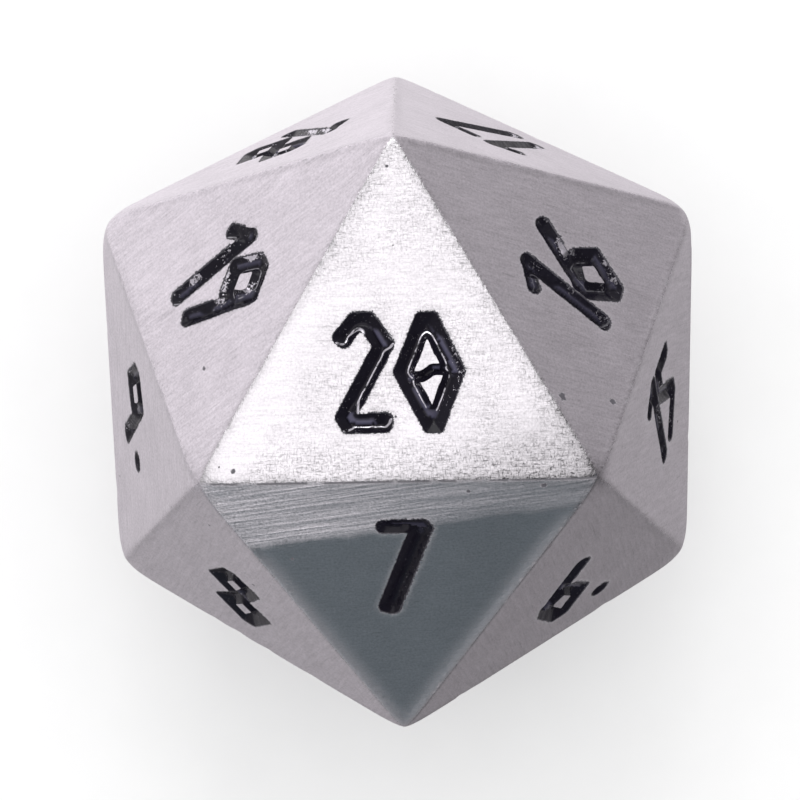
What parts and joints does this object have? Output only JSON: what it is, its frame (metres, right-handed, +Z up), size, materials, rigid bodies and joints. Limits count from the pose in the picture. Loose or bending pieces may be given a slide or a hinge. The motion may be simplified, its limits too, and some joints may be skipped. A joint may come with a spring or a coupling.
{
  "type": "twenty-sided die",
  "caption": "Icosahedral solid metal gaming die with engraved, enamel-filled numerals on its flat triangular faces; it is rolled and comes to rest on any one of them.",
  "frame": {"origin": "centre of the bottom of the bounding box, which is the middle of the face the die rests on (numbered 2)", "axes": "+Z is up, out of the level face numbered 20; +Y points from the middle of face 20 towards the corner that faces 16 to 20 share, and every numeral's top points to that corner's side; +X is to the right of a reader of face 20"},
  "size_m": [0.0236, 0.0268, 0.022],
  "materials": {
    "metal": "brushed, satin",
    "enamel": "glossy black enamel"
  },
  "bodies": {
    "root": {"die_body": "metal", "face_01_digit_enamel": "enamel", "face_02_digit_enamel": "enamel", "face_03_digit_enamel": "enamel", "face_04_digit_enamel": "enamel", "face_05_digit_enamel": "enamel", "face_06_digit_enamel": "enamel", "face_06_dot_enamel": "enamel", "face_07_digit_enamel": "enamel", "face_08_digit_enamel": "enamel", "face_09_digit_enamel": "enamel", "face_09_dot_enamel": "enamel", "face_10_tens_enamel": "enamel", "face_10_units_enamel": "enamel", "face_11_tens_enamel": "enamel", "face_11_units_enamel": "enamel", "face_12_tens_enamel": "enamel", "face_12_units_enamel": "enamel", "face_13_tens_enamel": "enamel", "face_13_units_enamel": "enamel", "face_14_tens_enamel": "enamel", "face_14_units_enamel": "enamel", "face_15_tens_enamel": "enamel", "face_15_units_enamel": "enamel", "face_16_tens_enamel": "enamel", "face_16_units_enamel": "enamel", "face_17_tens_enamel": "enamel", "face_17_units_enamel": "enamel", "face_18_tens_enamel": "enamel", "face_18_units_enamel": "enamel", "face_19_tens_enamel": "enamel", "face_19_units_enamel": "enamel", "face_20_tens_enamel": "enamel", "face_20_units_enamel": "enamel"}
  },
  "joints": []
}
